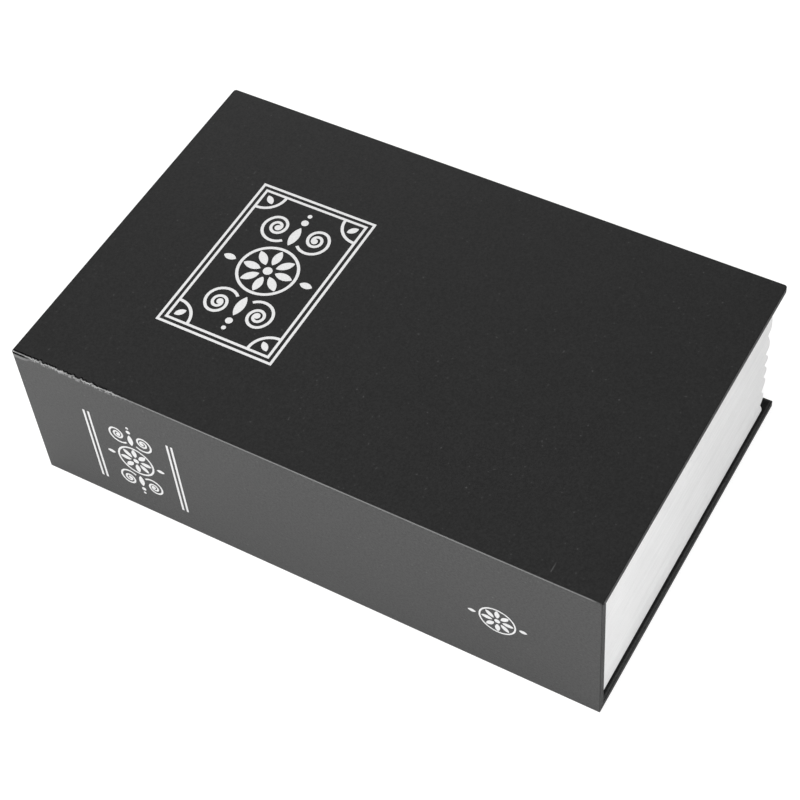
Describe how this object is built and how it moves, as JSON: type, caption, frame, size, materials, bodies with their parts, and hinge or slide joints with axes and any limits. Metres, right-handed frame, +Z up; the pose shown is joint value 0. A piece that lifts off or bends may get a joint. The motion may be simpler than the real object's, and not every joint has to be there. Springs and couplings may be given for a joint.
{
  "type": "book diversion safe",
  "caption": "Diversion safe in the shape of a hardback book: paper-covered case, moulded page shell, and a steel tray with a hinged, key-locked lid.",
  "frame": {"origin": "centre of the footprint on the surface the book lies on, back cover down", "axes": "+X from the spine to the fore edge, +Y from the tail to the head, +Z up through the front cover"},
  "size_m": [0.115, 0.18, 0.0535],
  "materials": {
    "black_paper": "printed black paper with a fine fibre texture, satin",
    "greyboard": "raw grey bookbinding board",
    "black_lining": "matt black paper",
    "page_white": "moulded, finely lined like page edges",
    "powder_coat": "black powder coat, fine orange peel",
    "plated_steel": "zinc plated",
    "nickel": "nickel plated, satin",
    "brass": "stamped"
  },
  "bodies": {
    "case_and_tray": {"back_wrap": "black_paper", "back_board": "greyboard", "back_lining": "black_lining", "spine_wrap": "black_paper", "spine_board": "greyboard", "spine_lining": "black_lining", "page_shell": "page_white", "tray": "powder_coat", "strike_bracket": "powder_coat", "tray_hinge_leaf": "powder_coat", "hinge_pin": "plated_steel"},
    "front_cover": {"front_wrap": "black_paper", "front_board": "greyboard", "front_lining": "black_lining"},
    "box_lid": {"lid": "powder_coat", "lid_hinge_leaf": "powder_coat", "lock_body": "nickel", "lock_nut": "plated_steel"},
    "lock_core": {"lock_plug": "nickel", "wafer_1": "brass", "wafer_2": "brass", "wafer_3": "brass", "wafer_4": "brass", "wafer_5": "brass", "stop_washer": "plated_steel", "lock_cam": "plated_steel", "spring_washer": "plated_steel", "cam_screw": "plated_steel"}
  },
  "joints": [
    {"name": "cover_hinge", "type": "hinge", "parent": "case_and_tray", "child": "front_cover", "pos_m": [-0.0575, 0, 0.0535], "axis": [0, -1, 0], "range_deg": [0, 180]},
    {"name": "lid_hinge", "type": "hinge", "parent": "case_and_tray", "child": "box_lid", "pos_m": [-0.049, 0, 0.0462], "axis": [0, -1, 0], "range_deg": [0, 110]},
    {"name": "lock_turn", "type": "hinge", "parent": "box_lid", "child": "lock_core", "pos_m": [0.03, 0, 0.049], "axis": [0, 0, -1], "range_deg": [0, 90]}
  ],
  "couplings": [
    {"joint": "lid_hinge", "follows": "cover_hinge", "ratio": 0.6}
  ]
}
